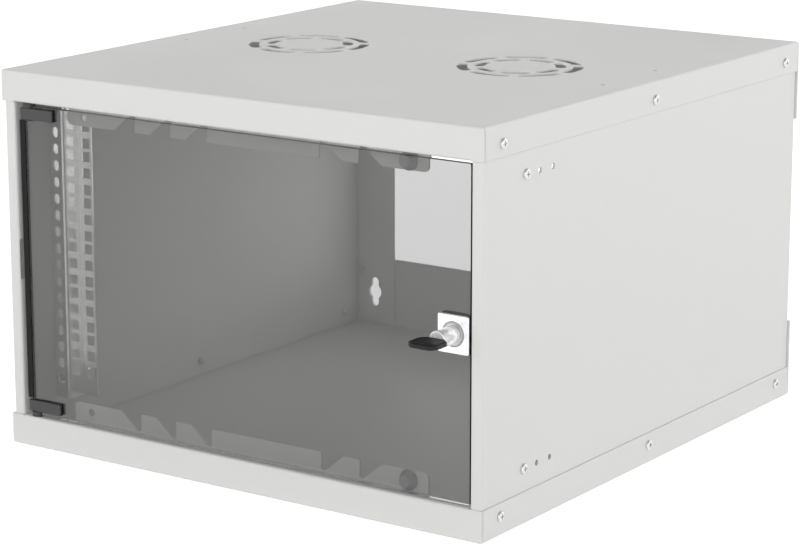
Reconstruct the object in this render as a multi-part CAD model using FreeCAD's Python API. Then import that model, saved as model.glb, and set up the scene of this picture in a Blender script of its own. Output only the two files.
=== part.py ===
# Wall mount network cabinet, 6 rack units, glass door.
# Frame: +Z up, the front faces -Y, +X to the viewer's right, origin at the centre of the underside.
# All sizes in millimetres.
import math
import os

import FreeCAD, Part

Vec = FreeCAD.Vector

# Outer case
case_width = 525.0
case_depth = 560.0
case_height = 355.0
sheet = 1.5
bend = 1.0
seam_gap = 0.5

flange_height = 29.0
rear_flange_height = 76.0
ledge_end_gap = 0.9
ledge_depth = 18.0
lip_end_inset = 50.5
lip_height = 18.0
lip_corner = 5.0

# Cut-outs in the lips
notch_centre = 24.0
notch_first = 61.0
notch_pitch = 41.0
notches_left = 3
notches_right = 2
notch_top_width = 24.0
notch_root_width = 4.0
notch_depth = 16.5
notch_corner = 1.0
lip_hole_inset = 19.5
lip_hole_radius = 3.5
lip_hole_above_ledge = 10.0

# Side panels
panel_end_gap = 4.0
stile_width = 11.6
stile_return = 20.5
panel_rear_flange = 49.5
lock_slot_height = 38.0
lock_slot_front = 3.4
lock_slot_depth = 15.6
lock_slot_corner = 1.5

# Wall keyholes
keyhole_from_face = 24.0
keyhole_from_end = 37.3
keyhole_radius = 8.0
keyhole_slot_width = 9.2
keyhole_length = 32.0

# Case screws
flange_screw_inset = 28.5
flange_screw_rise = 17.5
screw_radius = 2.45
screw_hole_radius = 2.75
screw_chamfer = 0.5
head_radius = 4.7
head_height = 2.3
head_crown = 1.5
cross_arm = 2.6
cross_width = 1.1
cross_floor = 0.8
nut_radius = 3.95
nut_height = 3.5
nut_chamfer = 0.4
thread_clearance = 0.05
screw_end = 1.2
rear_joint_from_face = 7.0
rear_joint_from_end = 61.0
rear_head_radius = 3.6
rear_cross_arm = 2.2
rear_cross_width = 1.0
rear_cross_depth = 0.8

# Rack rails
rack_unit = 44.45
unit_holes = (6.35, 22.225, 38.1)
rack_hole_from_web = 9.45
rack_hole_side = 9.5
first_unit_rise = 15.9
rail_end_gap = 32.0
rail_front = 60.0
rail_side_flange = 24.0
rail_step_width = 17.5
rail_face_setback = 21.0
rail_face_width = 16.5
rail_slot_from_panel = 8.5
rail_slot_width = 6.5
rail_slot_height = 10.0
rail_slot_pitch = 15.875
rail_slot_margin = 10.0
rail_screw_depth = 67.0
rail_screw_from_end = 49.4
rail_hole_pitch = 21.3
rail_spare_holes = 2
spare_hole_radius = 2.6

# Fan patterns in the cover
rosette_x = 120.0
rosette_y = 0.0
rosette_slots = 7
rosette_slot_width = 10.0
rosette_outer_radius = 53.5
rosette_inner_radius = 37.5
rosette_land = 6.0
cover_hole_inset = 27.5
cover_hole_y = 46.5
cover_hole_radius = 2.5

# Glass door
glass_thickness = 5.0
glass_setback = 4.6
glass_hinge_gap = 4.6
glass_lock_gap = 2.4
glass_low_gap = 1.5
glass_high_gap = 3.4
glass_corner = 1.5
clamp_from_edge = 1.8
clamp_length = 38.0
clamp_height = 10.7
clamp_from_end = 34.0
clamp_wall = 2.2
clamp_block = 13.0
clamp_edge = 0.8
liner = 0.5
glass_notch_gap = 1.3
pin_from_edge = 8.8
pin_radius = 3.0
pin_grip = 8.0
pin_reach = 8.5
pin_chamfer = 0.6
running_clearance = 0.05
bush_radius = 4.5
bush_collar_radius = 6.0
bush_collar_gap = 0.1
bush_tail = 2.0
grub_radius = 2.0
grub_proud = 0.8
grub_spacing = 11.0
grub_socket = 1.2
grub_socket_depth = 1.4
seal_wall = 0.6
seal_leg = 5.4
buffer_inset = 20.0
buffer_radius = 9.8
buffer_tip_radius = 5.2
buffer_rounding = 1.5
buffer_above_ledge = 9.3
buffer_gap = 0.3
buffer_stem_radius = 2.4
buffer_knob_radius = 4.0
buffer_knob = 2.5

# Lock and key
lock_from_edge = 15.6
lock_plate_width = 31.0
lock_plate_height = 33.5
lock_plate_front = 2.0
lock_plate_chamfer = 0.6
lock_gasket = 0.4
lock_gasket_inset = 0.5
lock_corner = 2.0
lock_housing_depth = 5.5
lock_housing_chamfer = 0.8
lock_tube_radius = 9.7
lock_tube_setback = 0.4
lock_opening_width = 20.5
lock_opening_height = 29.5
lock_screw_offset = 12.2
lock_boss_radius = 2.4
lock_screw_radius = 1.5
lock_screw_head_radius = 2.4
lock_screw_head = 1.7
lock_screw_sink = 0.3
lock_screw_slot = 0.8
lock_screw_slot_depth = 0.9
lock_thread_end = 0.8
cylinder_head_radius = 11.0
cylinder_head = 1.45
cylinder_rounding = 0.5
cylinder_radius = 8.0
cam_gap = 0.4
cam_thickness = 2.0
cam_width = 12.0
cam_reach = 21.0
cam_tip_radius = 5.5
cam_hub_radius = 7.5
cam_square = 7.0
cam_square_setback = 0.2
cam_screw_radius = 1.65
cam_screw_head_radius = 4.6
cam_screw_head = 2.4
cam_screw_crown = 1.2
cam_screw_cross_arm = 2.4
cam_screw_cross_width = 0.9
cam_screw_length = 5.2
cam_screw_end_gap = 0.2
blade_width = 8.0
blade_thickness = 2.0
blade_depth = 8.6
blade_tip_width = 2.0
blade_tip_length = 2.5
blade_end_gap = 0.2
key_collar_radius = 7.8
key_collar_length = 23.7
key_collar_rounding = 0.8
key_face_gap = 0.3
bow_width = 28.5
bow_length = 26.0
bow_thickness = 4.0
bow_shoulder = 6.0
bow_corner = 8.0
bow_shoulder_rounding = 3.0
bow_edge = 0.9
tail_width = 11.0
tail_length = 14.0

# Derived positions
half_width = case_width / 2
half_depth = case_depth / 2
mid_height = case_height / 2
front = -half_depth
panel_outer = half_width - sheet
panel_inner = panel_outer - sheet
stile_front = front + sheet
stile_inner = panel_outer - stile_width
panel_rear = half_depth - sheet
ledge_half_width = stile_inner - ledge_end_gap
lip_half_width = ledge_half_width - lip_end_inset
lip_front = front + ledge_depth
lip_hole_x = lip_hole_inset - lip_half_width
keyhole_x = panel_outer - keyhole_from_face
rear_joint_x = panel_outer - rear_joint_from_face
cover_hole_x = half_width - cover_hole_inset
screw_rows_y = (front + flange_screw_inset, 0.0, half_depth - flange_screw_inset)
shank_length = nut_height + screw_end
rail_length = case_height - 2 * rail_end_gap
rail_low = rail_end_gap
rail_step = front + rail_front
rail_face = rail_step + rail_face_setback
rail_web_x = panel_inner - rail_step_width
rack_hole_x = rail_web_x - rack_hole_from_web
rack_units = int((rail_length - first_unit_rise) / rack_unit)
rail_slot_x = panel_inner - rail_slot_from_panel
rail_slot_room = rail_length - rail_slot_height - 2 * rail_slot_margin
rail_slot_count = int(rail_slot_room / rail_slot_pitch) + 1
rail_screw_y = front + rail_screw_depth
rail_screw_rows = (rail_screw_from_end, case_height - rail_screw_from_end)
glass_front = front + glass_setback
glass_back = glass_front + glass_thickness
glass_middle = (glass_front + glass_back) / 2
glass_left = glass_hinge_gap - stile_inner
glass_right = stile_inner - glass_lock_gap
glass_low = flange_height + glass_low_gap
glass_high = case_height - flange_height - glass_high_gap
hinge_x = glass_left + pin_from_edge
clamp_x = glass_left + clamp_from_edge
clamp_front = glass_front - liner - clamp_wall
clamp_back = glass_back + liner + clamp_wall
clamp_high = clamp_from_end + clamp_height
buffer_x = lip_half_width - buffer_inset
lock_x = glass_right - lock_from_edge
lock_z = mid_height
plate_front = front + lock_plate_front
plate_back = glass_front - lock_gasket
housing_front = glass_back + lock_gasket
housing_back = housing_front + lock_housing_depth
cam_front = housing_back + cam_gap
cam_back = cam_front + cam_thickness
lock_head_back = housing_back - lock_screw_sink
lock_head_front = lock_head_back - lock_screw_head
key_face = plate_front - key_face_gap
collar_back = key_face - key_collar_length


# General shapes
def box(x0, x1, y0, y1, z0, z1):
    return Part.makeBox(x1 - x0, y1 - y0, z1 - z0, Vec(x0, y0, z0))


def bar(radius, start, end):
    along = end - start
    return Part.makeCylinder(radius, along.Length, start, along)


def bar_y(radius, x, z, y0, y1):
    return bar(radius, Vec(x, y0, z), Vec(x, y1, z))


def bar_z(radius, x, y, z0, z1):
    return bar(radius, Vec(x, y, z0), Vec(x, y, z1))


def bar_x(radius, y, z, x0, x1):
    return bar(radius, Vec(x0, y, z), Vec(x1, y, z))


def lift(axis, along, pair):
    if axis == "x":
        return Vec(along, pair[0], pair[1])
    if axis == "y":
        return Vec(pair[0], along, pair[1])
    return Vec(pair[0], pair[1], along)


# A closed outline with rounded corners. A radius of 0 keeps its corner sharp.
def rounded_face(points, radii):
    count = len(points)
    entries, exits, middles = [], [], []
    for i in range(count):
        here = points[i]
        entry, leave, middle = here, here, None
        if radii[i] > 0:
            arrive = (here - points[i - 1]).normalize()
            depart = (points[(i + 1) % count] - here).normalize()
            half = arrive.getAngle(depart) / 2
            run = radii[i] * math.tan(half)
            inward = (depart - arrive).normalize()
            entry = here - arrive * run
            leave = here + depart * run
            middle = here + inward * (radii[i] / math.cos(half) - radii[i])
        entries.append(entry)
        exits.append(leave)
        middles.append(middle)
    edges = []
    for i in range(count):
        following = (i + 1) % count
        if middles[i] is not None:
            edges.append(Part.Arc(entries[i], middles[i], exits[i]).toShape())
        if (entries[following] - exits[i]).Length > 1e-6:
            edges.append(Part.makeLine(exits[i], entries[following]))
    return Part.Face(Part.Wire(edges))


# A straight-sided solid on an outline drawn square to one axis.
def prism(axis, start, end, corners, radii):
    if isinstance(radii, (int, float)):
        radii = [radii] * len(corners)
    face = rounded_face([lift(axis, start, pair) for pair in corners], radii)
    return face.extrude(lift(axis, end - start, (0, 0)))


def rectangle(u0, u1, v0, v1):
    return [(u0, v0), (u1, v0), (u1, v1), (u0, v1)]


# Folded sheet metal. The path is one face of the sheet. The sheet lies on its left, or on its
# right when on_right is true, and each fold is rounded inside and out.
def folded_sheet(axis, start, end, path, on_right):
    side = -sheet if on_right else sheet
    flat = [Vec(pair[0], pair[1], 0) for pair in path]
    steps = [(b - a).normalize() for a, b in zip(flat, flat[1:])]
    lefts = [Vec(-step.y, step.x, 0) for step in steps]
    last = len(flat) - 1
    near_radii, far, far_radii = [], [], []
    for i, here in enumerate(flat):
        if i in (0, last):
            far.append(here + lefts[min(i, last - 1)] * side)
            near_radii.append(0)
            far_radii.append(0)
            continue
        before, after = lefts[i - 1], lefts[i]
        far.append(here + (before + after) * (side / (1 + before.dot(after))))
        turn = steps[i - 1].cross(steps[i]).z
        near_radii.append(bend + sheet if turn * side > 0 else bend)
        far_radii.append(bend if turn * side > 0 else bend + sheet)
    outline = [(p.x, p.y) for p in flat] + [(p.x, p.y) for p in reversed(far)]
    return prism(axis, start, end, outline, near_radii + far_radii[::-1])


# A hole with round ends, longer in the outline's second direction.
def long_hole(axis, start, end, centre, width, length):
    u, v = centre
    outline = rectangle(u - width / 2, u + width / 2, v - length / 2, v + length / 2)
    return prism(axis, start, end, outline, width / 2)


def fuse(shapes):
    return shapes[0].fuse(shapes[1:]).removeSplitter()


def cut(shape, cutters):
    return shape.cut(Part.Compound(cutters)) if cutters else shape


def edges_on(shape, test):
    return [edge for edge in shape.Edges if test(edge)]


def level_edges(shape, z):
    return edges_on(shape, lambda e: all(abs(v.Point.z - z) < 1e-6 for v in e.Vertexes))


# The round edges that lie in the plane at y.
def rings_at(shape, y):
    return edges_on(shape, lambda e: abs(e.CenterOfMass.y - y) < 1e-6 and len(e.Vertexes) == 1)


def outline_at(shape, y):
    return edges_on(shape, lambda e: all(abs(v.Point.y - y) < 1e-6 for v in e.Vertexes))


def mirror_x(shape):
    return shape.mirror(Vec(0, 0, 0), Vec(1, 0, 0))


def mirror_z(shape):
    return shape.mirror(Vec(0, 0, mid_height), Vec(0, 0, 1))


def both_sides(shapes):
    return list(shapes) + [mirror_x(shape) for shape in shapes]


def both_ends(shapes):
    return list(shapes) + [mirror_z(shape) for shape in shapes]


# Turns a piece drawn along +Z so that its +Z points along the axis, and moves it into place.
def placed(shape, at, axis):
    moved = shape.copy()
    moved.Placement = FreeCAD.Placement(at, FreeCAD.Rotation(Vec(0, 0, 1), axis))
    return moved


# Fasteners
# A pan head machine screw. The underside of the head is at the origin and the shank points down.
def pan_screw(grip):
    head = Part.makeCylinder(head_radius, head_height)
    head = head.makeFillet(head_crown, level_edges(head, head_height))
    arm, width = cross_arm, cross_width / 2
    cross = [box(-arm, arm, -width, width, cross_floor, head_height + 1)]
    cross.append(box(-width, width, -arm, arm, cross_floor, head_height + 1))
    end = -grip - shank_length
    shank = bar_z(screw_radius, 0, 0, end, 0)
    shank = shank.makeChamfer(screw_chamfer, level_edges(shank, end))
    return cut(fuse([head, shank]), cross)


# A round nut pressed against the inside of a sheet. Its seat is at the origin and it points down.
def round_nut():
    nut = bar_z(nut_radius, 0, 0, -nut_height, 0)
    nut = nut.makeChamfer(nut_chamfer, level_edges(nut, -nut_height))
    bore = bar_z(screw_radius + thread_clearance, 0, 0, -nut_height - 1, 1)
    return nut.cut(bore)


def side_rows():
    return [(y, flange_screw_rise) for y in screw_rows_y]


def tray_fasteners():
    outward = Vec(1, 0, 0)
    screws = [placed(pan_screw(2 * sheet), Vec(half_width, y, z), outward) for y, z in side_rows()]
    nuts = [placed(round_nut(), Vec(panel_inner, y, z), outward) for y, z in side_rows()]
    return both_sides(screws), both_sides(nuts)


def rail_fasteners():
    outward = Vec(1, 0, 0)
    screws = [placed(pan_screw(2 * sheet), Vec(panel_outer, rail_screw_y, z), outward)
              for z in rail_screw_rows]
    nuts = [placed(round_nut(), Vec(panel_inner - sheet, rail_screw_y, z), outward)
            for z in rail_screw_rows]
    return both_sides(screws), both_sides(nuts)


# The flush head of a rear joint screw, from the wall face inwards.
def rear_head(extra):
    head = Part.makeCone(rear_head_radius, screw_radius, sheet, Vec(0, 0, 0), Vec(0, 0, -1))
    return fuse([head, bar_z(rear_head_radius, 0, 0, 0, extra)]) if extra else head


def rear_fasteners():
    end = -2 * sheet - shank_length
    shank = bar_z(screw_radius, 0, 0, end, -sheet)
    screw = fuse([rear_head(0), shank.makeChamfer(screw_chamfer, level_edges(shank, end))])
    arm, width = rear_cross_arm, rear_cross_width / 2
    cross = [box(-arm, arm, -width, width, -rear_cross_depth, 1)]
    cross.append(box(-width, width, -arm, arm, -rear_cross_depth, 1))
    backward = Vec(0, 1, 0)
    at_head = Vec(rear_joint_x, half_depth, rear_joint_from_end)
    at_nut = Vec(rear_joint_x, half_depth - 2 * sheet, rear_joint_from_end)
    screws = both_ends([placed(cut(screw, cross), at_head, backward)])
    nuts = both_ends([placed(round_nut(), at_nut, backward)])
    return both_sides(screws), both_sides(nuts)


# Holes that run through more than one sheet
def flange_screw_holes():
    holes = [bar_x(screw_hole_radius, y, z, panel_inner - 1, half_width + 1) for y, z in side_rows()]
    return both_sides(holes)


def keyholes():
    y0, y1 = half_depth - 2 * sheet - 1, half_depth + 1
    centre = (keyhole_x, keyhole_from_end)
    slot = long_hole("y", y0, y1, centre, keyhole_slot_width, keyhole_length)
    return both_sides([fuse([slot, bar_y(keyhole_radius, centre[0], centre[1], y0, y1)])])


# Base tray and top cover
def lip_cutters():
    ledge = flange_height
    top = ledge + lip_height
    y0, y1 = lip_front - 1, lip_front + sheet + 1
    cutters = []
    groups = [(notch_centre - notch_first - i * notch_pitch, -1) for i in range(notches_left)]
    groups += [(notch_centre + notch_first + i * notch_pitch, 1) for i in range(notches_right)]
    for straight, outward in groups:
        corners = [
            (straight, top + 1),
            (straight, top - notch_depth),
            (straight + outward * notch_root_width, top - notch_depth),
            (straight + outward * notch_top_width, top),
            (straight + outward * notch_top_width, top + 1),
        ]
        radii = [0, notch_corner, notch_corner, 0, 0]
        cutters.append(prism("y", y0, y1, corners, radii))
    cutters.append(bar_y(lip_hole_radius, lip_hole_x, ledge + lip_hole_above_ledge, y0, y1))
    cutters.append(bar_y(buffer_stem_radius, buffer_x, ledge + buffer_above_ledge, y0, y1))
    return cutters


# The folded form that the tray and the cover share, drawn as the tray.
def folded_pan():
    outer = box(-half_width, half_width, -half_depth, half_depth, 0, rear_flange_height)
    outer = outer.makeFillet(bend + sheet, level_edges(outer, 0))
    inner = box(-half_width + sheet, half_width - sheet, -half_depth + sheet, half_depth - sheet,
                sheet, rear_flange_height + 1)
    inner = inner.makeFillet(bend, level_edges(inner, sheet))
    pan = outer.cut(inner)
    fold_top = bend + sheet
    rear_start = half_depth - sheet
    trims = [box(-half_width - 1, half_width + 1, front - 1, rear_start - seam_gap,
                 flange_height, rear_flange_height + 1)]
    trims.append(box(-half_width - 1, half_width + 1, rear_start - seam_gap, rear_start,
                     fold_top, rear_flange_height + 1))
    seam = box(half_width - sheet - 0.01, half_width + 1, stile_front, stile_front + seam_gap,
               fold_top, flange_height + 1)
    trims += both_sides([seam])
    # The middle of the front flange stops where the ledge's fold begins.
    trims.append(box(-ledge_half_width, ledge_half_width, front - 1, stile_front + 0.5,
                     flange_height - fold_top, flange_height + 1))
    pan = cut(pan, trims)
    # The ledge and the lip meet where the lip's fold begins.
    ledge_end = lip_front - bend
    ledge = folded_sheet("x", -ledge_half_width, ledge_half_width,
                         [(front, flange_height - fold_top), (front, flange_height),
                          (ledge_end, flange_height)], True)
    lip = folded_sheet("x", -lip_half_width, lip_half_width,
                       [(ledge_end, flange_height), (lip_front, flange_height),
                        (lip_front, flange_height + lip_height)], True)
    tops = edges_on(lip, lambda e: abs(abs(e.CenterOfMass.x) - lip_half_width) < 1e-6
                    and abs(e.CenterOfMass.z - flange_height - lip_height) < 1e-6)
    lip = lip.makeFillet(lip_corner, tops)
    pan = fuse([pan, ledge, lip])
    holes = flange_screw_holes() + keyholes() + lip_cutters()
    holes.append(bar_z(bush_radius, hinge_x, glass_middle, flange_height - 5, flange_height + 1))
    head = placed(rear_head(1), Vec(rear_joint_x, half_depth, rear_joint_from_end), Vec(0, 1, 0))
    holes += both_sides([head])
    return cut(pan, holes)


# One ring of round-ended slots on an arc.
def slot_ring(centre, radius, turned):
    z0, z1 = case_height - 2 * sheet, case_height + sheet
    pitch = 2 * math.pi / rosette_slots
    half = (pitch * radius - rosette_land - rosette_slot_width) / radius / 2
    half_slot = rosette_slot_width / 2
    outer, inner = radius + half_slot, radius - half_slot

    def at(distance, angle):
        return Vec(centre.x + distance * math.cos(angle), centre.y + distance * math.sin(angle), z0)

    # The point of a round end that reaches furthest along the ring.
    def tip(angle, way):
        forward = Vec(-math.sin(angle), math.cos(angle), 0) * way
        return at(radius, angle) + forward * half_slot

    slots = []
    for i in range(rosette_slots):
        middle = turned + (i + 0.5) * pitch
        a, b = middle - half, middle + half
        edges = [
            Part.Arc(at(outer, a), at(outer, middle), at(outer, b)),
            Part.Arc(at(outer, b), tip(b, 1), at(inner, b)),
            Part.Arc(at(inner, b), at(inner, middle), at(inner, a)),
            Part.Arc(at(inner, a), tip(a, -1), at(outer, a)),
        ]
        face = Part.Face(Part.Wire([edge.toShape() for edge in edges]))
        slots.append(face.extrude(Vec(0, 0, z1 - z0)))
    return slots


def top_cover(pan):
    cutters = []
    for x in (-rosette_x, rosette_x):
        centre = Vec(x, rosette_y, 0)
        cutters += slot_ring(centre, rosette_outer_radius, math.radians(90))
        cutters += slot_ring(centre, rosette_inner_radius, math.radians(-90))
    for x in (-cover_hole_x, cover_hole_x):
        for y in (-cover_hole_y, cover_hole_y):
            cutters.append(bar_z(cover_hole_radius, x, y, case_height - 2 * sheet, case_height + 1))
    return cut(mirror_z(pan), cutters)


# Side panels and rack rails, drawn for the right
def side_panel():
    path = [
        (stile_inner, stile_front + stile_return),
        (stile_inner, stile_front),
        (panel_outer, stile_front),
        (panel_outer, panel_rear),
        (panel_outer - panel_rear_flange, panel_rear),
    ]
    panel = folded_sheet("z", panel_end_gap, case_height - panel_end_gap, path, False)
    slot_y = front + lock_slot_front + lock_slot_depth / 2
    slot_outline = rectangle(slot_y - lock_slot_depth / 2, slot_y + lock_slot_depth / 2,
                             lock_z - lock_slot_height / 2, lock_z + lock_slot_height / 2)
    slot = prism("x", stile_inner - 1, stile_inner + sheet + 1, slot_outline, lock_slot_corner)
    holes = [slot] + both_ends(flange_screw_holes()) + both_ends(keyholes())
    for z in rail_screw_rows:
        holes.append(bar_x(screw_hole_radius, rail_screw_y, z, panel_inner - 1, panel_outer + 1))
        for i in range(rail_spare_holes):
            y = rail_screw_y + (i + 1) * rail_hole_pitch
            holes.append(bar_x(spare_hole_radius, y, z, panel_inner - 1, panel_outer + 1))
    joint = bar_y(screw_hole_radius, rear_joint_x, rear_joint_from_end,
                  panel_rear - sheet - 1, panel_rear + 1)
    return cut(panel, holes + both_ends([joint]))


def rack_rail():
    path = [
        (panel_inner, rail_step + rail_side_flange),
        (panel_inner, rail_step),
        (rail_web_x, rail_step),
        (rail_web_x, rail_face),
        (rail_web_x - rail_face_width, rail_face),
    ]
    rail = folded_sheet("z", rail_low, rail_low + rail_length, path, True)
    side = rack_hole_side / 2
    holes = []
    for unit in range(rack_units):
        for rise in unit_holes:
            z = rail_low + first_unit_rise + unit * rack_unit + rise
            holes.append(box(rack_hole_x - side, rack_hole_x + side, rail_face - 1, rail_face + sheet + 1,
                             z - side, z + side))
    for i in range(rail_slot_count):
        z = mid_height + (i - (rail_slot_count - 1) / 2) * rail_slot_pitch
        holes.append(long_hole("y", rail_step - 1, rail_step + sheet + 1, (rail_slot_x, z),
                               rail_slot_width, rail_slot_height))
    for z in rail_screw_rows:
        holes.append(bar_x(screw_hole_radius, rail_screw_y, z, panel_inner - sheet - 1, panel_inner + 1))
    return cut(rail, holes)


# Door buffers and hinge bushes, drawn at the tray
def door_buffer():
    z = flange_height + buffer_above_ledge
    face = glass_back + buffer_gap
    pad = Part.makeCone(buffer_radius, buffer_tip_radius, lip_front - face,
                        Vec(buffer_x, lip_front, z), Vec(0, -1, 0))
    pad = pad.makeFillet(buffer_rounding, rings_at(pad, face))
    # The foot's rim is rounded as the fold beside it is.
    pad = pad.makeFillet(bend, rings_at(pad, lip_front))
    stem = bar_y(buffer_stem_radius, buffer_x, z, lip_front, lip_front + sheet)
    knob = bar_y(buffer_knob_radius, buffer_x, z, lip_front + sheet, lip_front + sheet + buffer_knob)
    return fuse([pad, stem, knob])


def hinge_bush():
    collar_top = clamp_from_end - bush_collar_gap
    collar = bar_z(bush_collar_radius, hinge_x, glass_middle, flange_height, collar_top)
    body_low = flange_height - sheet - bush_tail
    body = bar_z(bush_radius, hinge_x, glass_middle, body_low, flange_height)
    bore = bar_z(pin_radius + running_clearance, hinge_x, glass_middle, 0, clamp_from_end + 1)
    return fuse([collar, body]).cut(bore)


# Glass door
def door_glass():
    pane = prism("y", glass_front, glass_back,
                 rectangle(glass_left, glass_right, glass_low, glass_high), glass_corner)
    notch_edge = clamp_x + clamp_block + liner
    notch = box(glass_left - 1, notch_edge, glass_front - 1, glass_back + 1,
                flange_height, clamp_high + glass_notch_gap)
    opening = long_hole("y", glass_front - 1, glass_back + 1, (lock_x, lock_z),
                        lock_opening_width, lock_opening_height)
    return cut(pane, both_ends([notch]) + [opening])


def hinge_clamp():
    x1 = clamp_x + clamp_length
    z0, z1 = clamp_from_end, clamp_high
    body = box(clamp_x, x1, clamp_front, clamp_back, z0, z1)
    body = body.makeFillet(clamp_edge, body.Edges)
    slot = box(clamp_x + clamp_block, x1 + 1, glass_front - liner, glass_back + liner, z0 - 1, z1 + 1)
    pin_hole = bar_z(pin_radius, hinge_x, glass_middle, z0 - 1, z0 + pin_grip)
    holes = [bar_y(grub_radius, x, (z0 + z1) / 2, glass_back, clamp_back + 1)
             for x in grub_columns()]
    return cut(body, [slot, pin_hole] + holes)


def grub_columns():
    middle = clamp_x + (clamp_block + clamp_length) / 2
    return (middle - grub_spacing / 2, middle + grub_spacing / 2)


def hinge_liner():
    z0, z1 = clamp_from_end, clamp_high
    x0 = clamp_x + clamp_block
    outer = box(x0, clamp_x + clamp_length, glass_front - liner, glass_back + liner, z0, z1)
    return outer.cut(box(x0 + liner, half_width, glass_front, glass_back, z0 - 1, z1 + 1))


def clamp_screws():
    screws = []
    z = clamp_from_end + clamp_height / 2
    for x in grub_columns():
        end = clamp_back + grub_proud
        grub = bar_y(grub_radius, x, z, glass_back + liner, end)
        corners = []
        for i in range(6):
            turn = math.radians(60 * i)
            corners.append((x + grub_socket * math.cos(turn), z + grub_socket * math.sin(turn)))
        screws.append(grub.cut(prism("y", end - grub_socket_depth, end + 1, corners, 0)))
    return both_ends(screws)


def hinge_pin():
    low = clamp_from_end - pin_reach
    pin = bar_z(pin_radius, hinge_x, glass_middle, low, clamp_from_end + pin_grip)
    return pin.makeChamfer(pin_chamfer, level_edges(pin, low))


def edge_seal():
    z0 = clamp_high + glass_notch_gap
    z1 = case_height - z0
    outer = box(glass_left - seal_wall, glass_left + seal_leg,
                glass_front - seal_wall, glass_back + seal_wall, z0, z1)
    return outer.cut(box(glass_left, 0, glass_front, glass_back, z0 - 1, z1 + 1))


# Lock
def lock_outline(shrink):
    u, v = lock_plate_width / 2 - shrink, lock_plate_height / 2 - shrink
    return rectangle(lock_x - u, lock_x + u, lock_z - v, lock_z + v)


def lock_screw_heights():
    return (lock_z - lock_screw_offset, lock_z + lock_screw_offset)


def lock_plate():
    plate = prism("y", plate_front, plate_back, lock_outline(0), lock_corner)
    plate = plate.makeChamfer(lock_plate_chamfer, outline_at(plate, plate_front))
    tube = bar_y(lock_tube_radius, lock_x, lock_z, plate_back, housing_back - lock_tube_setback)
    bosses = [bar_y(lock_boss_radius, lock_x, z, plate_back, housing_front)
              for z in lock_screw_heights()]
    recess_floor = plate_front + cylinder_head + running_clearance
    recess = bar_y(cylinder_head_radius + running_clearance, lock_x, lock_z,
                   plate_front - 1, recess_floor)
    bore = bar_y(cylinder_radius + running_clearance, lock_x, lock_z,
                 plate_front - 1, housing_back + 1)
    threads = [bar_y(lock_screw_radius, lock_x, z, plate_back + lock_thread_end, housing_front + 1)
               for z in lock_screw_heights()]
    return cut(fuse([plate, tube] + bosses), [recess, bore] + threads)


def lock_gasket_at(y0):
    gasket = prism("y", y0, y0 + lock_gasket, lock_outline(lock_gasket_inset), lock_corner)
    return gasket.cut(long_hole("y", y0 - 1, y0 + 1, (lock_x, lock_z),
                                lock_opening_width, lock_opening_height))


def lock_housing():
    block = prism("y", housing_front, housing_back, lock_outline(0), lock_corner)
    block = block.makeChamfer(lock_housing_chamfer, outline_at(block, housing_back))
    holes = [bar_y(lock_tube_radius, lock_x, lock_z, housing_front - 1, housing_back + 1)]
    for z in lock_screw_heights():
        holes.append(bar_y(lock_screw_radius, lock_x, z, housing_front - 1, housing_back + 1))
        holes.append(bar_y(lock_screw_head_radius, lock_x, z, lock_head_front, housing_back + 1))
    return cut(block, holes)


def lock_screws():
    screws = []
    half = lock_screw_slot / 2
    slot_front = lock_head_back - lock_screw_slot_depth
    for z in lock_screw_heights():
        head = bar_y(lock_screw_head_radius, lock_x, z, lock_head_front, lock_head_back)
        shank = bar_y(lock_screw_radius, lock_x, z, plate_back + lock_thread_end, lock_head_front)
        slot = box(lock_x - half, lock_x + half, slot_front, housing_back,
                   z - lock_screw_head_radius, z + lock_screw_head_radius)
        screws.append(fuse([head, shank]).cut(slot))
    return screws


def lock_cylinder():
    head_back = plate_front + cylinder_head
    head = bar_y(cylinder_head_radius, lock_x, lock_z, plate_front, head_back)
    head = head.makeFillet(cylinder_rounding, rings_at(head, plate_front))
    body = bar_y(cylinder_radius, lock_x, lock_z, head_back, cam_front)
    half = cam_square / 2
    tang = box(lock_x - half, lock_x + half, cam_front, cam_back - cam_square_setback,
               lock_z - half, lock_z + half)
    across = blade_width / 2 + running_clearance
    up = blade_thickness / 2 + running_clearance
    keyway = box(lock_x - across, lock_x + across, plate_front - 1,
                 plate_front + blade_depth + blade_end_gap, lock_z - up, lock_z + up)
    thread = bar_y(cam_screw_radius, lock_x, lock_z,
                   cam_back - cam_screw_length - cam_screw_end_gap, cam_back)
    return cut(fuse([head, body, tang]), [keyway, thread])


# The cam's tip is rounded, so that it swings freely into the slot in the stile.
def lock_cam():
    hub = bar_y(cam_hub_radius, lock_x, lock_z, cam_front, cam_back)
    half = cam_width / 2
    tip = lock_z - cam_reach
    arm = prism("y", cam_front, cam_back, rectangle(lock_x - half, lock_x + half, tip, lock_z),
                [cam_tip_radius, cam_tip_radius, 0, 0])
    square = cam_square / 2
    hole = box(lock_x - square, lock_x + square, cam_front - 1, cam_back + 1,
               lock_z - square, lock_z + square)
    return fuse([hub, arm]).cut(hole)


def cam_screw():
    top = cam_back + cam_screw_head
    head = bar_y(cam_screw_head_radius, lock_x, lock_z, cam_back, top)
    head = head.makeFillet(cam_screw_crown, rings_at(head, top))
    shank = bar_y(cam_screw_radius, lock_x, lock_z, cam_back - cam_screw_length, cam_back)
    arm, width = cam_screw_cross_arm, cam_screw_cross_width / 2
    floor = top - cam_screw_crown
    cross = [box(lock_x - arm, lock_x + arm, floor, top + 1, lock_z - width, lock_z + width)]
    cross.append(box(lock_x - width, lock_x + width, floor, top + 1, lock_z - arm, lock_z + arm))
    return cut(fuse([head, shank]), cross)


# Key
# The flat tail of the blade, which the bow is moulded around.
def tail_box():
    half, up = tail_width / 2, blade_thickness / 2
    return box(lock_x - half, lock_x + half, collar_back - tail_length, collar_back,
               lock_z - up, lock_z + up)


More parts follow.
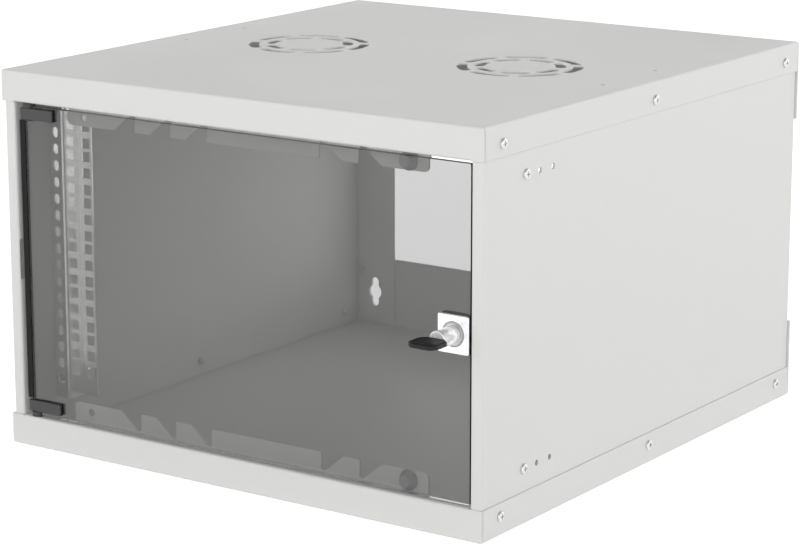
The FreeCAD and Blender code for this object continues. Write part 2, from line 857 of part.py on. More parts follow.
def key_blade():
    collar = bar_y(key_collar_radius, lock_x, lock_z, collar_back, key_face)
    rims = edges_on(collar, lambda e: len(e.Vertexes) == 1)
    collar = collar.makeFillet(key_collar_rounding, rims)
    half, tip = blade_width / 2, blade_tip_width / 2
    end = plate_front + blade_depth
    root = key_face - key_collar_rounding - 1
    corners = [
        (lock_x - half, root), (lock_x + half, root),
        (lock_x + half, end - blade_tip_length), (lock_x + tip, end),
        (lock_x - tip, end), (lock_x - half, end - blade_tip_length),
    ]
    up = blade_thickness / 2
    blade = prism("z", lock_z - up, lock_z + up, corners, 0)
    return fuse([collar, blade, tail_box()])


def key_bow():
    far = collar_back - bow_length
    near = collar_back - bow_shoulder
    half = bow_width / 2
    corners = [
        (lock_x - half + bow_shoulder, collar_back), (lock_x + half - bow_shoulder, collar_back),
        (lock_x + half, near), (lock_x + half, far),
        (lock_x - half, far), (lock_x - half, near),
    ]
    shoulder = bow_shoulder_rounding
    radii = [shoulder / 2, shoulder / 2, shoulder, bow_corner, bow_corner, shoulder]
    low, high = lock_z - bow_thickness / 2, lock_z + bow_thickness / 2
    bow = prism("z", low, high, corners, radii)
    bow = bow.makeFillet(bow_edge, level_edges(bow, low) + level_edges(bow, high))
    return bow.cut(tail_box())


# Build
def build():
    pan = folded_pan()
    panel = side_panel()
    rail = rack_rail()
    low_screws, low_nuts = tray_fasteners()
    rail_screws, rail_nuts = rail_fasteners()
    rear_screws, rear_nuts = rear_fasteners()
    buffer = door_buffer()
    bush = hinge_bush()
    clamp = hinge_clamp()
    pad = hinge_liner()
    pin = hinge_pin()
    return {
        "base_tray": [pan],
        "top_cover": [top_cover(pan)],
        "side_panel_right": [panel],
        "side_panel_left": [mirror_x(panel)],
        "rack_rail_right": [rail],
        "rack_rail_left": [mirror_x(rail)],
        "base_tray_screws": low_screws,
        "base_tray_nuts": low_nuts,
        "top_cover_screws": [mirror_z(shape) for shape in low_screws],
        "top_cover_nuts": [mirror_z(shape) for shape in low_nuts],
        "rail_screws": rail_screws,
        "rail_nuts": rail_nuts,
        "rear_joint_screws": rear_screws,
        "rear_joint_nuts": rear_nuts,
        "door_buffer_lower": [buffer],
        "door_buffer_upper": [mirror_z(buffer)],
        "hinge_bush_lower": [bush],
        "hinge_bush_upper": [mirror_z(bush)],
        "door_glass": [door_glass()],
        "hinge_clamp_lower": [clamp],
        "hinge_clamp_upper": [mirror_z(clamp)],
        "hinge_liner_lower": [pad],
        "hinge_liner_upper": [mirror_z(pad)],
        "hinge_pin_lower": [pin],
        "hinge_pin_upper": [mirror_z(pin)],
        "hinge_clamp_screws": clamp_screws(),
        "door_edge_seal": [edge_seal()],
        "lock_plate": [lock_plate()],
        "lock_gasket_front": [lock_gasket_at(plate_back)],
        "lock_gasket_back": [lock_gasket_at(glass_back)],
        "lock_housing": [lock_housing()],
        "lock_fixing_screws": lock_screws(),
        "lock_cylinder": [lock_cylinder()],
        "lock_cam": [lock_cam()],
        "lock_cam_screw": [cam_screw()],
        "key_blade": [key_blade()],
        "key_bow": [key_bow()],
    }


os.makedirs("parts", exist_ok=True)
for name, shapes in build().items():
    solids = [solid for shape in shapes for solid in shape.Solids]
    shape = solids[0] if len(solids) == 1 else Part.Compound(solids)
    if not shape.isValid():
        print("not valid:", name)
    shape.exportStep("parts/" + name + ".step")
    print(name, len(solids), round(shape.Volume / 1000, 2), "cm3")
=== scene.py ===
import math

import bmesh
import bpy
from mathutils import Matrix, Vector


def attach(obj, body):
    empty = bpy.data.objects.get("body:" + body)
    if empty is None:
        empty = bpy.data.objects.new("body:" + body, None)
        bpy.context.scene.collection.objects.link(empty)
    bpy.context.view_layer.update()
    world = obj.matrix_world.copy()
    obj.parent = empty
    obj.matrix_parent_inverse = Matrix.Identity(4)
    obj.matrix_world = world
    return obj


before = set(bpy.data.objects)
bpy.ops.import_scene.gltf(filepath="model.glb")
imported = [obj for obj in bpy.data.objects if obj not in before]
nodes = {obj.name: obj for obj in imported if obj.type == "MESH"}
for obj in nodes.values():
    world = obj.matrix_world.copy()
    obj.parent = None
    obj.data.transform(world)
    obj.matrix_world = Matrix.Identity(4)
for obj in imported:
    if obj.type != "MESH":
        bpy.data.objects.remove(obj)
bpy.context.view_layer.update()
bpy.ops.object.select_all(action="DESELECT")
print("frame loaded:", len(nodes), "nodes")

mm = 0.001  # lengths of pieces and finishes are in millimetres, those of the studio in metres
whole = (0.0, 1.0)
noiseSpread = (0.3, 0.7)  # a noise pattern seldom leaves this range
lockX, lockZ = 231.4, 177.5  # the lock turns about a line along Y


# helpers for building node trees
def addNode(tree, kind, place, settings=None, values=None):
    node = tree.nodes.new(kind)
    node.location = place
    for key, value in (settings or {}).items():
        setattr(node, key, value)
    for key, value in (values or {}).items():
        node.inputs[key].default_value = value
    return node


def join(tree, fromSocket, toSocket):
    tree.links.new(fromSocket, toSocket)


def rgb(red, green, blue):
    return (red, green, blue, 1.0)


# terms are numbers or sockets
def addMath(tree, place, operation, *terms):
    node = addNode(tree, "ShaderNodeMath", place, settings={"operation": operation})
    for socket, term in zip(node.inputs, terms):
        if isinstance(term, float):
            socket.default_value = term
        else:
            join(tree, term, socket)
    return node.outputs["Value"]


def mapValue(tree, place, fromSocket, source, target):
    values = {"From Min": source[0], "From Max": source[1], "To Min": target[0], "To Max": target[1]}
    node = addNode(tree, "ShaderNodeMapRange", place, values=values)
    join(tree, fromSocket, node.inputs["Value"])
    return node.outputs["Result"]


# low and high are colours or sockets; a colour mix has its factor in input 0, and its colours in 6 and 7
def mixColors(tree, place, low, high, factorSocket):
    mix = addNode(tree, "ShaderNodeMix", place, settings={"data_type": "RGBA"})
    for socket, color in ((mix.inputs[6], low), (mix.inputs[7], high)):
        if isinstance(color, tuple):
            socket.default_value = color
        else:
            join(tree, color, socket)
    join(tree, factorSocket, mix.inputs[0])
    return mix.outputs[2]


def mixShaders(tree, place, factorSocket, first, second):
    mix = addNode(tree, "ShaderNodeMixShader", place)
    for socket, source in zip(mix.inputs, (factorSocket, first, second)):
        join(tree, source, socket)
    return mix.outputs["Shader"]


# the inputs of a group are plain numbers
def newGroup(name, inputs, outputs):
    tree = bpy.data.node_groups.new(name, "ShaderNodeTree")
    for label in inputs:
        tree.interface.new_socket(name=label, in_out="INPUT", socket_type="NodeSocketFloat")
    for label, kind in outputs.items():
        tree.interface.new_socket(name=label, in_out="OUTPUT", socket_type=kind)
    start = addNode(tree, "NodeGroupInput", (-900, 0))
    end = addNode(tree, "NodeGroupOutput", (700, 0))
    return tree, start, end


# fine rolling texture of baked powder, with a faint patchiness
powderNoise = {
    "peel": {"Detail": 2.0, "Roughness": 0.5},
    "patches": {"Detail": 4.0, "Roughness": 0.6},
}


def makePowderGroup():
    tree, start, end = newGroup("powderTexture", ["Grain Scale", "Patch Scale"],
                                {"Height": "NodeSocketFloat", "Patches": "NodeSocketFloat"})
    coords = addNode(tree, "ShaderNodeTexCoord", (-900, 300))
    peel = addNode(tree, "ShaderNodeTexNoise", (-600, 300), values=powderNoise["peel"])
    patches = addNode(tree, "ShaderNodeTexNoise", (-600, 0), values=powderNoise["patches"])
    for texture in (peel, patches):
        join(tree, coords.outputs["Object"], texture.inputs["Vector"])
    join(tree, start.outputs["Grain Scale"], peel.inputs["Scale"])
    join(tree, start.outputs["Patch Scale"], patches.inputs["Scale"])
    join(tree, peel.outputs["Fac"], end.inputs["Height"])
    join(tree, patches.outputs["Fac"], end.inputs["Patches"])
    return tree


# rounded edges read from nearby faces: a softened normal and a mask of the edges
edgeReading = {
    "samples": 4,
    "spread": (0.995, 0.85),  # cosine between a face and its softened normal, from flat to edge
}


def makeEdgeGroup():
    tree, start, end = newGroup("softEdges", ["Radius"],
                                {"Normal": "NodeSocketVector", "Edge": "NodeSocketFloat"})
    bevel = addNode(tree, "ShaderNodeBevel", (-600, 200), settings={"samples": edgeReading["samples"]})
    shape = addNode(tree, "ShaderNodeNewGeometry", (-600, -100))
    dot = addNode(tree, "ShaderNodeVectorMath", (-300, 0), settings={"operation": "DOT_PRODUCT"})
    join(tree, start.outputs["Radius"], bevel.inputs["Radius"])
    join(tree, bevel.outputs["Normal"], dot.inputs[0])
    join(tree, shape.outputs["Normal"], dot.inputs[1])
    mask = mapValue(tree, (0, 0), dot.outputs["Value"], edgeReading["spread"], whole)
    join(tree, bevel.outputs["Normal"], end.inputs["Normal"])
    join(tree, mask, end.inputs["Edge"])
    return tree


# smears, and fine wipe marks that run one way
markNoise = {
    "smears": {"Detail": 6.0, "Roughness": 0.65},
    "scratches": {"Detail": 3.0, "Roughness": 0.7},
    "stretch": {"Rotation": (0.2, 0.4, 0.7), "Scale": (1.0, 14.0, 14.0)},
    "scratchSpread": (0.6, 0.72),
}


def makeMarkGroup():
    tree, start, end = newGroup("handlingMarks", ["Smear Scale", "Scratch Scale"],
                                {"Smears": "NodeSocketFloat", "Scratches": "NodeSocketFloat"})
    coords = addNode(tree, "ShaderNodeTexCoord", (-900, 300))
    smear = addNode(tree, "ShaderNodeTexNoise", (-500, 200), values=markNoise["smears"])
    stretch = addNode(tree, "ShaderNodeMapping", (-700, -200), values=markNoise["stretch"])
    scratch = addNode(tree, "ShaderNodeTexNoise", (-500, -200), values=markNoise["scratches"])
    join(tree, coords.outputs["Object"], smear.inputs["Vector"])
    join(tree, coords.outputs["Object"], stretch.inputs["Vector"])
    join(tree, stretch.outputs["Vector"], scratch.inputs["Vector"])
    join(tree, start.outputs["Smear Scale"], smear.inputs["Scale"])
    join(tree, start.outputs["Scratch Scale"], scratch.inputs["Scale"])
    thin = mapValue(tree, (-200, -200), scratch.outputs["Fac"], markNoise["scratchSpread"], whole)
    join(tree, smear.outputs["Fac"], end.inputs["Smears"])
    join(tree, thin, end.inputs["Scratches"])
    return tree


powderGroup = makePowderGroup()
edgeGroup = makeEdgeGroup()
markGroup = makeMarkGroup()
print("node groups made")


# the groups as a finish uses them, each with the values from its own dictionary
def placeGroup(tree, group, place, values):
    return addNode(tree, "ShaderNodeGroup", place, settings={"node_tree": group}, values=values).outputs


def placePowder(tree, look):
    values = {"Grain Scale": look["grainScale"], "Patch Scale": look["patchScale"]}
    return placeGroup(tree, powderGroup, (-700, 100), values)


# a finish that shows only the smears gives no scratch scale
def placeMarks(tree, smearScale, scratchScale=0.0):
    values = {"Smear Scale": smearScale, "Scratch Scale": scratchScale}
    return placeGroup(tree, markGroup, (-700, 0), values)


def placeEdges(tree, look):
    return placeGroup(tree, edgeGroup, (-700, -250), {"Radius": look["edgeRadius"] * mm})


def newMaterial(name):
    material = bpy.data.materials.new(name)
    material.use_nodes = True
    tree = material.node_tree
    tree.nodes.clear()
    surface = addNode(tree, "ShaderNodeBsdfPrincipled", (300, 0))
    output = addNode(tree, "ShaderNodeOutputMaterial", (650, 0))
    join(tree, surface.outputs["BSDF"], output.inputs["Surface"])
    return material, tree, surface


def addBump(tree, surface, look, heightSocket, normalSocket):
    values = {"Strength": look["bump"], "Distance": look["bumpDepth"] * mm}
    bump = addNode(tree, "ShaderNodeBump", (50, -300), values=values)
    join(tree, heightSocket, bump.inputs["Height"])
    join(tree, normalSocket, bump.inputs["Normal"])
    join(tree, bump.outputs["Normal"], surface.inputs["Normal"])


# light grey powder coat of the sheet metal; its rounded edges are coloured a lighter grey, a painted
# highlight
powderCoat = {
    "color": rgb(0.735, 0.733, 0.718),
    "patchColor": rgb(0.750, 0.748, 0.735),
    # the edge colour is the lighter grey of a painted highlight on the rounded edges
    "edgeColor": rgb(0.80, 0.80, 0.79),
    "grainScale": 1100.0,
    "patchScale": 5.0,
    "rough": (0.42, 0.52),
    "ior": 1.45,
    "edgeRadius": 0.7,
    # how strongly the painted edge highlight lightens the colour
    "edgeHighlight": 0.2,
    "bump": 0.12,
    "bumpDepth": 0.4,
}


def makePowderCoat():
    material, tree, surface = newMaterial("powderCoat")
    look = powderCoat
    texture = placePowder(tree, look)
    edges = placeEdges(tree, look)
    body = mixColors(tree, (-300, 200), look["color"], look["patchColor"], texture["Patches"])
    # painted highlight: the edge mask lightens the colour towards the edge grey
    highlightMask = mapValue(tree, (-300, 0), edges["Edge"], whole, (0.0, look["edgeHighlight"]))
    join(tree, mixColors(tree, (-50, 200), body, look["edgeColor"], highlightMask), surface.inputs["Base Color"])
    rough = mapValue(tree, (-300, -150), texture["Patches"], noiseSpread, look["rough"])
    join(tree, rough, surface.inputs["Roughness"])
    surface.inputs["IOR"].default_value = look["ior"]
    addBump(tree, surface, look, texture["Height"], edges["Normal"])
    return material


# zinc plating of the fasteners, pins and cam
zincPlate = {
    "color": rgb(0.62, 0.62, 0.61),
    "highColor": rgb(0.74, 0.74, 0.73),
    "metal": 1.0,
    "rough": (0.24, 0.42),
    "smearScale": 300.0,
    "scratchScale": 220.0,
    "edgeRadius": 0.4,
    "bump": 0.15,
    "bumpDepth": 0.2,
}


# bright plating of the lock plate and the key's collar, and what both share
platedMetal = {
    "plate": {"color": rgb(0.97, 0.97, 0.97), "highColor": rgb(0.99, 0.99, 0.99),
              "metal": 1.0, "rough": (0.19, 0.32)},
    "collar": {"color": rgb(0.88, 0.88, 0.88), "highColor": rgb(0.97, 0.97, 0.97),
               "metal": 0.5, "rough": (0.17, 0.30)},
}
platingMarks = {"smearScale": 160.0, "scratchScale": 180.0, "edgeRadius": 0.5, "bump": 0.1, "bumpDepth": 0.1}


def makePlating(name, look):
    material, tree, surface = newMaterial(name)
    marks = placeMarks(tree, look["smearScale"], look["scratchScale"])
    edges = placeEdges(tree, look)
    color = mixColors(tree, (-200, 200), look["color"], look["highColor"], marks["Smears"])
    join(tree, color, surface.inputs["Base Color"])
    surface.inputs["Metallic"].default_value = look["metal"]
    rough = mapValue(tree, (-200, 0), marks["Smears"], noiseSpread, look["rough"])
    join(tree, rough, surface.inputs["Roughness"])
    addBump(tree, surface, look, marks["Scratches"], edges["Normal"])
    return material


# bare galvanised sheet of the rails, with faint crystal patches, and its edges coloured brighter as a painted
# highlight
zincSheet = {
    "color": rgb(0.92, 0.92, 0.91),
    "highColor": rgb(0.97, 0.97, 0.96),
    # the edge colour is the brighter tone of a painted highlight on the edges
    "edgeColor": rgb(0.98, 0.98, 0.97),
    "crystals": {"Scale": 140.0, "Randomness": 1.0},
    "metal": 1.0,
    "rough": (0.18, 0.27),
    "smearScale": 60.0,
    "edgeRadius": 0.6,
    "bump": 0.08,
    "bumpDepth": 0.4,
}


def makeZincSheet():
    material, tree, surface = newMaterial("zincSheet")
    look = zincSheet
    coords = addNode(tree, "ShaderNodeTexCoord", (-900, 300))
    crystals = addNode(tree, "ShaderNodeTexVoronoi", (-700, 300), values=look["crystals"])
    parts = addNode(tree, "ShaderNodeSeparateColor", (-500, 300))
    smears = placeMarks(tree, look["smearScale"])["Smears"]
    edges = placeEdges(tree, look)
    join(tree, coords.outputs["Object"], crystals.inputs["Vector"])
    join(tree, crystals.outputs["Color"], parts.inputs["Color"])
    tone = parts.outputs[0]  # one random number for each crystal
    sheet = mixColors(tree, (-300, 300), look["color"], look["highColor"], tone)
    # painted highlight: the edge mask brightens the colour of the edges
    color = mixColors(tree, (-50, 200), sheet, look["edgeColor"], edges["Edge"])
    join(tree, color, surface.inputs["Base Color"])
    surface.inputs["Metallic"].default_value = look["metal"]
    rough = mapValue(tree, (-300, 50), tone, whole, look["rough"])
    join(tree, rough, surface.inputs["Roughness"])
    addBump(tree, surface, look, smears, edges["Normal"])
    return material


# turned face of the lock cylinder, darker towards its rim
lockCylinder = {
    "face": rgb(0.58, 0.58, 0.58),
    "spot": rgb(0.74, 0.74, 0.74),
    "rim": rgb(0.24, 0.24, 0.25),
    "rimStart": 8.2,
    "rimEnd": 10.8,
    "ringsPerMetre": 1400.0,
    "metal": 1.0,
    "rough": (0.34, 0.46),
    "spotSpread": (0.35, 0.65),
    "smearScale": 240.0,
    "edgeRadius": 0.4,
    "bump": 0.15,
    "bumpDepth": 0.05,
}


def makeLockCylinder():
    material, tree, surface = newMaterial("lockCylinder")
    look = lockCylinder
    coords = addNode(tree, "ShaderNodeTexCoord", (-1300, 300))
    away = addNode(tree, "ShaderNodeVectorMath", (-1100, 300), settings={"operation": "SUBTRACT"},
                   values={1: (lockX * mm, 0.0, lockZ * mm)})
    flat = addNode(tree, "ShaderNodeVectorMath", (-900, 300), settings={"operation": "MULTIPLY"},
                   values={1: (1.0, 0.0, 1.0)})
    radius = addNode(tree, "ShaderNodeVectorMath", (-700, 300), settings={"operation": "LENGTH"})
    smears = placeMarks(tree, look["smearScale"])["Smears"]
    edges = placeEdges(tree, look)
    join(tree, coords.outputs["Object"], away.inputs[0])
    join(tree, away.outputs["Vector"], flat.inputs[0])
    join(tree, flat.outputs["Vector"], radius.inputs[0])
    rimRange = (look["rimStart"] * mm, look["rimEnd"] * mm)
    outer = mapValue(tree, (-400, 300), radius.outputs["Value"], rimRange, whole)
    spots = mapValue(tree, (-400, 50), smears, look["spotSpread"], whole)
    face = mixColors(tree, (-200, 150), look["face"], look["spot"], spots)
    join(tree, mixColors(tree, (0, 250), face, look["rim"], outer), surface.inputs["Base Color"])
    surface.inputs["Metallic"].default_value = look["metal"]
    rough = mapValue(tree, (-200, -50), spots, whole, look["rough"])
    join(tree, rough, surface.inputs["Roughness"])
    turns = look["ringsPerMetre"] * 2 * math.pi
    turned = addMath(tree, (-400, -300), "MULTIPLY", radius.outputs["Value"], turns)
    wave = addMath(tree, (-200, -300), "SINE", turned)
    addBump(tree, surface, look, wave, edges["Normal"])
    return material


# matt and satin blacks and the grey rubber of the door buffers, and what all of them share
darkFinish = {
    "rubber": {"color": rgb(0.006, 0.006, 0.006), "highColor": rgb(0.014, 0.014, 0.014),
               "rough": (0.74, 0.86), "grainScale": 1500.0, "bump": 0.25, "shine": 0.3},
    "buffer": {"color": rgb(0.40, 0.40, 0.395), "highColor": rgb(0.48, 0.48, 0.475),
               "rough": (0.54, 0.66), "grainScale": 1300.0, "bump": 0.15, "shine": 0.5},
    "moulding": {"color": rgb(0.004, 0.004, 0.005), "highColor": rgb(0.010, 0.010, 0.011),
                 "rough": (0.44, 0.56), "grainScale": 2200.0, "bump": 0.2, "shine": 0.32},
    "clamp": {"color": rgb(0.036, 0.036, 0.037), "highColor": rgb(0.048, 0.048, 0.049),
              "rough": (0.30, 0.42), "grainScale": 1600.0, "bump": 0.1, "shine": 0.5},
    "nylon": {"color": rgb(0.02, 0.02, 0.02), "highColor": rgb(0.04, 0.04, 0.04),
              "rough": (0.44, 0.56), "grainScale": 1200.0, "bump": 0.1, "shine": 0.5},
}
darkTexture = {"patchScale": 40.0, "edgeRadius": 0.5, "bumpDepth": 0.2}


def makeDarkFinish(name, look):
    material, tree, surface = newMaterial(name)
    texture = placePowder(tree, look)
    edges = placeEdges(tree, look)
    color = mixColors(tree, (-200, 200), look["color"], look["highColor"], texture["Patches"])
    join(tree, color, surface.inputs["Base Color"])
    rough = mapValue(tree, (-200, 0), texture["Patches"], noiseSpread, look["rough"])
    join(tree, rough, surface.inputs["Roughness"])
    surface.inputs["Specular IOR Level"].default_value = look["shine"]
    addBump(tree, surface, look, texture["Height"], edges["Normal"])
    return material


# grey tinted door pane, darker at its cut edges
glassTint = {
    "color": rgb(0.650, 0.650, 0.650),
    "smearColor": rgb(0.660, 0.660, 0.660),
    "edgeColor": rgb(0.24, 0.25, 0.25),
    "edgeSpread": (0.9, 0.5),  # how squarely a face looks along Y, from pane to cut edge
    "shadowColor": rgb(0.37, 0.37, 0.37),
    "smearScale": 9.0,
    "smearSpread": (0.45, 0.8),
    "rough": (0.0, 0.03),
    "ior": 1.5,
}


def makeTintedGlass():
    material, tree, surface = newMaterial("tintedGlass")
    look = glassTint
    smears = placeMarks(tree, look["smearScale"])["Smears"]
    tint = mixColors(tree, (-200, 200), look["color"], look["smearColor"], smears)
    coords = addNode(tree, "ShaderNodeTexCoord", (-1000, 500))
    ways = addNode(tree, "ShaderNodeSeparateXYZ", (-800, 500))
    join(tree, coords.outputs["Normal"], ways.inputs["Vector"])
    square = addMath(tree, (-600, 500), "ABSOLUTE", ways.outputs["Y"])
    edge = mapValue(tree, (-400, 500), square, look["edgeSpread"], whole)
    join(tree, mixColors(tree, (0, 300), tint, look["edgeColor"], edge), surface.inputs["Base Color"])
    surface.inputs["Metallic"].default_value = 0.0
    surface.inputs["Transmission Weight"].default_value = 1.0
    surface.inputs["IOR"].default_value = look["ior"]
    rough = mapValue(tree, (-200, 0), smears, look["smearSpread"], look["rough"])
    join(tree, rough, surface.inputs["Roughness"])
    # light passes straight through the pane and is dimmed, so the case is lit inside
    clear = addNode(tree, "ShaderNodeBsdfTransparent", (300, -400), values={"Color": look["shadowColor"]})
    path = addNode(tree, "ShaderNodeLightPath", (300, 300))
    mix = mixShaders(tree, (500, -100), path.outputs["Is Shadow Ray"],
                     surface.outputs["BSDF"], clear.outputs["BSDF"])
    join(tree, mix, tree.nodes["Material Output"].inputs["Surface"])
    return material


finishes = {
    "powderCoat": makePowderCoat(),
    "zincSheet": makeZincSheet(),
    "zincPlate": makePlating("zincPlate", zincPlate),
    "lockCylinder": makeLockCylinder(),
    "tintedGlass": makeTintedGlass(),
}
for kind, look in platedMetal.items():
    finishes[kind] = makePlating("plated" + kind.capitalize(), {**platingMarks, **look})
for kind, look in darkFinish.items():
    finishes[kind] = makeDarkFinish("dark" + kind.capitalize(), {**darkTexture, **look})

# finish of each CAD node
finishOf = {
    "powderCoat": ["base_tray", "top_cover", "side_panel_left", "side_panel_right"],
    "zincSheet": ["rack_rail_left", "rack_rail_right"],
    "zincPlate": ["base_tray_screws", "base_tray_nuts", "top_cover_screws", "top_cover_nuts", "rail_screws",
                  "rail_nuts", "rear_joint_screws", "rear_joint_nuts", "lock_fixing_screws", "lock_cam",
                  "lock_cam_screw", "hinge_pin_lower", "hinge_pin_upper"],
    "rubber": ["hinge_liner_lower", "hinge_liner_upper", "door_edge_seal", "lock_gasket_front",
               "lock_gasket_back"],
    "buffer": ["door_buffer_lower", "door_buffer_upper"],
    "nylon": ["hinge_bush_lower", "hinge_bush_upper"],
    "clamp": ["hinge_clamp_lower", "hinge_clamp_upper", "hinge_clamp_screws"],
    "moulding": ["lock_housing", "key_bow"],
    "plate": ["lock_plate"],
    "collar": ["key_blade"],
    "lockCylinder": ["lock_cylinder"],
    "tintedGlass": ["door_glass"],
}

for finishName, nodeNames in finishOf.items():
    for nodeName in nodeNames:
        nodes[nodeName].data.materials.clear()
        nodes[nodeName].data.materials.append(finishes[finishName])
print("finishes given to", sum(len(names) for names in finishOf.values()), "nodes")


# helpers for modelling: each piece is worked on alone, its faces and edges picked by the way they point
pieceEdges = {"segments": 2, "smoothAngle": 35.0}
facing = 0.9  # cosine past which a face or an edge counts as pointing one way


def startPiece(name):
    piece = bpy.context.active_object
    piece.name = name
    bpy.ops.object.transform_apply(location=True, rotation=True, scale=True)
    return piece


def pick(piece, kind, test):
    bpy.ops.object.mode_set(mode="EDIT")
    bpy.ops.mesh.select_mode(type=kind)
    bpy.ops.mesh.select_all(action="DESELECT")
    mesh = bmesh.from_edit_mesh(piece.data)
    for part in mesh.faces if kind == "FACE" else mesh.edges:
        part.select_set(test(part))
    bmesh.update_edit_mesh(piece.data)


def edgeRunsUp(edge):
    return abs((edge.verts[0].co - edge.verts[1].co).normalized().z) > facing


def finishPiece(piece, finish, body, bevelWidth):
    bpy.ops.object.mode_set(mode="OBJECT")
    bevel = piece.modifiers.new("roundedEdges", "BEVEL")
    bevel.width = bevelWidth
    bevel.segments = pieceEdges["segments"]
    bevel.limit_method = "ANGLE"
    bpy.ops.object.modifier_apply(modifier=bevel.name)
    bpy.ops.object.shade_smooth_by_angle(angle=math.radians(pieceEdges["smoothAngle"]))
    piece.data.materials.clear()
    piece.data.materials.append(finish)
    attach(piece, body)
    piece.select_set(False)


# a copy with its own mesh, higher up
def copyHigher(piece, name, rise, body):
    bpy.ops.object.select_all(action="DESELECT")
    piece.select_set(True)
    bpy.context.view_layer.objects.active = piece
    bpy.ops.object.duplicate(linked=False)
    twin = bpy.context.active_object
    twin.name = name
    bpy.ops.transform.translate(value=(0, 0, rise))
    bpy.ops.object.transform_apply(location=True, rotation=True, scale=True)
    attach(twin, body)
    twin.select_set(False)


# the moulded hub at the tip of each door buffer, with a dimple in it
bufferHub = {
    "x": 178.0,
    "tip": -270.1,  # the buffer's own front face, in Y
    "lowerZ": 38.3,
    "upperZ": 316.7,
    "radius": 2.7,
    "sides": 40,
    "proud": 0.12,
    "sunk": 0.5,
    "dimpleInset": 1.1,
    "dimpleDepth": 0.3,
    "edge": 0.05,
}


def makeBufferHubs():
    look = bufferHub
    depth = look["proud"] + look["sunk"]
    middle = look["tip"] - look["proud"] + depth / 2
    bpy.ops.mesh.primitive_cylinder_add(vertices=look["sides"], radius=look["radius"] * mm, depth=depth * mm,
                                        location=(look["x"] * mm, middle * mm, look["lowerZ"] * mm),
                                        rotation=(math.radians(90), 0, 0))
    hub = startPiece("bufferHubLower")
    pick(hub, "FACE", lambda face: face.normal.y < -facing)
    bpy.ops.mesh.inset(thickness=look["dimpleInset"] * mm, depth=0)
    bpy.ops.mesh.extrude_region_move(TRANSFORM_OT_translate={"value": (0, look["dimpleDepth"] * mm, 0)})
    finishPiece(hub, finishes["buffer"], "case", look["edge"] * mm)
    copyHigher(hub, "bufferHubUpper", (look["upperZ"] - look["lowerZ"]) * mm, "case")


# the raised rim that runs round both faces of the key's bow
bowRim = {
    "centre": (lockX, -315.3, lockZ),
    "size": (25.6, 22.4, 4.5),
    "corner": 6.5,
    "cornerSegments": 8,
    "width": 1.7,
    "recess": 0.6,
    "edge": 0.12,
}


def makeBowRim():
    look = bowRim
    bpy.ops.mesh.primitive_cube_add(size=1.0, location=[value * mm for value in look["centre"]],
                                    scale=[value * mm for value in look["size"]])
    rim = startPiece("bowRim")
    pick(rim, "EDGE", edgeRunsUp)
    bpy.ops.mesh.bevel(offset=look["corner"] * mm, segments=look["cornerSegments"], affect="EDGES")
    for way in (1, -1):
        pick(rim, "FACE", lambda face: face.normal.z * way > facing)
        bpy.ops.mesh.inset(thickness=look["width"] * mm, depth=0)
        bpy.ops.mesh.extrude_region_move(TRANSFORM_OT_translate={"value": (0, 0, -way * look["recess"] * mm)})
    finishPiece(rim, finishes["moulding"], "key", look["edge"] * mm)


makeBufferHubs()
makeBowRim()
print("buffer hubs and bow rim modelled")


# pale studio, at a light level where a colour renders about as written
studio = {
    "white": rgb(1.0, 1.0, 1.0),
    "floorSize": 14.0,
    "floorColor": rgb(0.93, 0.93, 0.93),
    "floorRough": 0.9,
    "floorLift": 0.58,  # glow of the floor as the camera and metal see it; it lights nothing matt
    "floorLiftThrough": 0.33,  # the same as seen through glass
    "skyHorizon": 1.82,
    "skyZenith": 0.15,
    "skyTop": 0.9,  # height on the unit sky at which the zenith's level is reached
    "backdrop": 1.0,
}


def makeFloor():
    bpy.ops.mesh.primitive_plane_add(size=studio["floorSize"], location=(0, 0, 0))
    floor = bpy.context.active_object
    floor.name = "studioFloor"
    material, tree, surface = newMaterial("studioFloor")
    surface.inputs["Base Color"].default_value = studio["floorColor"]
    surface.inputs["Roughness"].default_value = studio["floorRough"]
    path = addNode(tree, "ShaderNodeLightPath", (-300, -200)).outputs
    direct = addMath(tree, (-50, -200), "MAXIMUM", path["Is Camera Ray"], path["Is Glossy Ray"])
    seen = addMath(tree, (50, -200), "MAXIMUM", direct, path["Is Transmission Ray"])
    lift = addMath(tree, (150, -200), "MULTIPLY", seen, studio["floorLift"])
    # a ray bent by glass counts as glossy too, so the cut is taken off by itself
    cut = addMath(tree, (50, -350), "MULTIPLY", path["Is Transmission Ray"],
                  studio["floorLift"] - studio["floorLiftThrough"])
    level = addMath(tree, (220, -300), "SUBTRACT", lift, cut)
    surface.inputs["Emission Color"].default_value = studio["white"]
    join(tree, level, surface.inputs["Emission Strength"])
    floor.data.materials.append(material)
    floor.select_set(False)


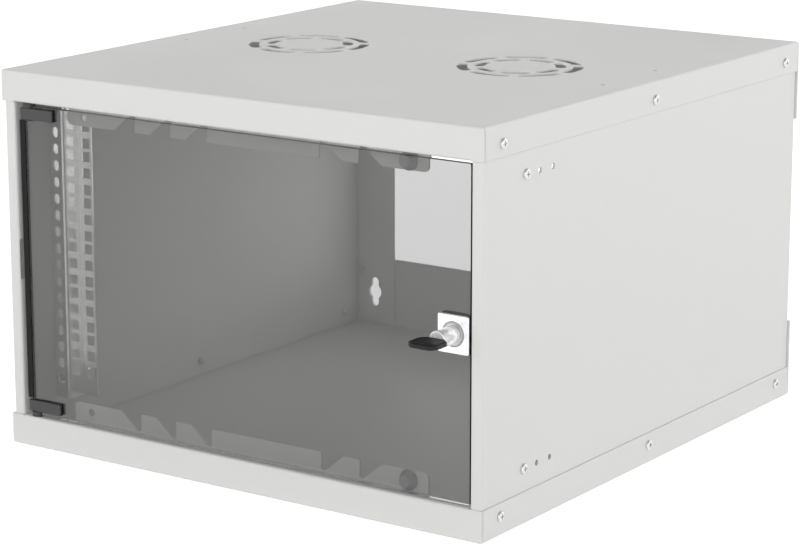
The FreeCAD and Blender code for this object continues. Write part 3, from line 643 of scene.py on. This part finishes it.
# the camera, and what looks through glass, see a white backdrop; all else sees the sky's light
def makeWorld():
    world = bpy.data.worlds.new("studioWorld")
    bpy.context.scene.world = world
    world.use_nodes = True
    tree = world.node_tree
    tree.nodes.clear()
    coords = addNode(tree, "ShaderNodeTexCoord", (-900, 0))
    parts = addNode(tree, "ShaderNodeSeparateXYZ", (-700, 0))
    join(tree, coords.outputs["Generated"], parts.inputs["Vector"])
    level = mapValue(tree, (-500, 0), parts.outputs["Z"], (0.0, studio["skyTop"]),
                     (studio["skyHorizon"], studio["skyZenith"]))
    light = addNode(tree, "ShaderNodeBackground", (-200, 0), values={"Color": studio["white"]})
    join(tree, level, light.inputs["Strength"])
    plain = addNode(tree, "ShaderNodeBackground", (-200, -200),
                    values={"Color": studio["white"], "Strength": studio["backdrop"]})
    path = addNode(tree, "ShaderNodeLightPath", (-500, 300)).outputs
    seen = addMath(tree, (-200, 300), "MAXIMUM", path["Is Camera Ray"], path["Is Transmission Ray"])
    mix = mixShaders(tree, (100, 0), seen, light.outputs["Background"], plain.outputs["Background"])
    output = addNode(tree, "ShaderNodeOutputWorld", (350, 0))
    join(tree, mix, output.inputs["Surface"])


# broad soft lamps, all aimed at the middle of the cabinet
lampSize = 2.4
lampAim = (0.0, 0.0, 0.15)
lamps = {
    "sideLamp": {"place": (3.2, 0.2, 1.6), "power": 3.8},
    "frontLamp": {"place": (0.45, -3.6, 0.9), "power": 18.5},
    "backLamp": {"place": (1.2, 3.2, 1.0), "power": 14.0},
}


def addLamp(name, place, power):
    bpy.ops.object.light_add(type="AREA", location=place)
    lamp = bpy.context.active_object
    lamp.name = name
    lamp.data.energy = power
    lamp.data.size = lampSize
    aim = Vector(lampAim) - lamp.location
    lamp.rotation_euler = aim.to_track_quat("-Z", "Y").to_euler()
    lamp.select_set(False)


# camera as the photo sees the cabinet
cameraView = {
    "place": (1.4733, -2.1511, 0.7651),
    "tilt": 76.6,
    "roll": 0.042,
    "turn": 34.651,
    "lens": 125.97,
    "sensor": 36.0,
}


def makeCamera():
    bpy.ops.object.camera_add(location=cameraView["place"])
    camera = bpy.context.active_object
    camera.rotation_euler = [math.radians(cameraView[key]) for key in ("tilt", "roll", "turn")]
    camera.data.lens = cameraView["lens"]
    camera.data.sensor_width = cameraView["sensor"]
    camera.data.sensor_fit = "HORIZONTAL"
    bpy.context.scene.camera = camera
    camera.select_set(False)


makeFloor()
makeWorld()
for lampName, lamp in lamps.items():
    addLamp(lampName, lamp["place"], lamp["power"])
makeCamera()
bpy.context.scene.view_settings.view_transform = "Standard"
print("stage, lights and camera set")
